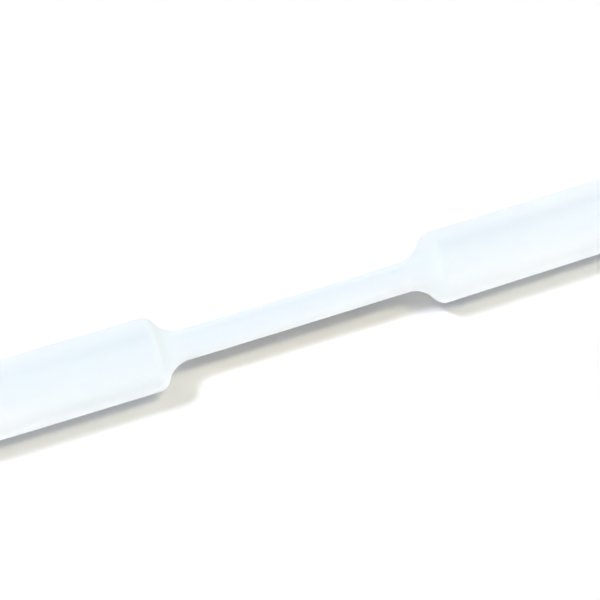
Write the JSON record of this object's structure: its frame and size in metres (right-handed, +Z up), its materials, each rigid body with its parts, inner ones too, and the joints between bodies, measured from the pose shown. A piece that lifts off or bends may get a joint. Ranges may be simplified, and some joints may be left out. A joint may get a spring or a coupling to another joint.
{
  "type": "heat shrink tube",
  "caption": "Cut length of thin-wall heat-shrink tubing with open ends, its middle already shrunk to a narrow neck that meets each end through a tapered shoulder.",
  "frame": {"origin": "on the floor plane, at the centre of the tube's footprint as it lies on its side", "axes": "+X along the tube, +Z up, and the tube's slight bow has both ends towards +Y"},
  "size_m": [0.15, 0.0133, 0.0128],
  "materials": {
    "white_polyolefin": "satin white cross-linked polyolefin, faintly translucent"
  },
  "bodies": {
    "root": {"heat_shrink_tube": "white_polyolefin"}
  },
  "joints": []
}
